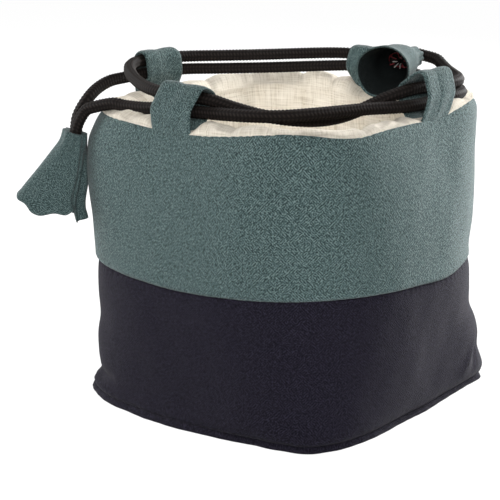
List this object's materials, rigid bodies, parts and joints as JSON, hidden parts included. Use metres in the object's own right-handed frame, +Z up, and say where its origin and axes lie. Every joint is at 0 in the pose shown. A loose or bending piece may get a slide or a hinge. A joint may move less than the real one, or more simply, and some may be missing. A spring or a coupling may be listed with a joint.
{
  "type": "tea set storage bag",
  "caption": "Padded square-based cloth bag with a quilted lining, cloth straps on its rim, and drawstrings that end in flared cloth pulls.",
  "frame": {"origin": "centre of the base's flat underside, on the floor", "axes": "+Z up, X and Y along the square base's sides; the left cord's pull hangs at the -X -Y corner"},
  "size_m": [0.1554, 0.1568, 0.1482],
  "materials": {
    "navy_cloth": "matt woven cloth",
    "teal_cloth": "matt small-figured woven cloth",
    "cream_linen": "matt slubbed linen",
    "wadding": "soft fibre wadding",
    "cord": "braided round cord",
    "thread": "wound sewing thread"
  },
  "bodies": {
    "bag": {"base_panel": "navy_cloth", "outer_lower_panel": "navy_cloth", "outer_upper_panel": "teal_cloth", "base_batting": "wadding", "wall_batting": "wadding", "lining_base": "cream_linen", "lining_wall": "cream_linen", "loop_front": "teal_cloth", "loop_right": "teal_cloth", "loop_back": "teal_cloth", "loop_left": "teal_cloth", "left_drawstring": "cord", "right_drawstring": "cord"},
    "left_tail": {"left_cord_end_a": "cord", "left_cord_end_b": "cord"},
    "left_tassel": {"left_pull": "teal_cloth", "left_pull_binding": "thread", "left_cord_tip_a": "cord", "left_cord_tip_b": "cord"},
    "right_tail": {"right_cord_end_a": "cord", "right_cord_end_b": "cord"},
    "right_tassel": {"right_pull": "teal_cloth", "right_pull_binding": "thread", "right_cord_tip_a": "cord", "right_cord_tip_b": "cord"}
  },
  "joints": [
    {"name": "left_tail_swing", "type": "hinge", "parent": "bag", "child": "left_tail", "pos_m": [-0.05835, -0.05895, 0.1254], "axis": [-0.7071, 0.7071, 0], "range_deg": [0, 100]},
    {"name": "left_pull_swing", "type": "hinge", "parent": "left_tail", "child": "left_tassel", "pos_m": [-0.063, -0.065, 0.1135], "axis": [-0.7071, 0.7071, 0], "range_deg": [0, 30]},
    {"name": "right_tail_swing", "type": "hinge", "parent": "bag", "child": "right_tail", "pos_m": [0.029, 0.063, 0.1394], "axis": [-0.9855, -0.1699, 0], "range_deg": [0, 200]},
    {"name": "right_pull_swing", "type": "hinge", "parent": "right_tail", "child": "right_tassel", "pos_m": [0.03, 0.0572, 0.1392], "axis": [-0.9961, -0.0885, 0], "range_deg": [0, 25]}
  ]
}
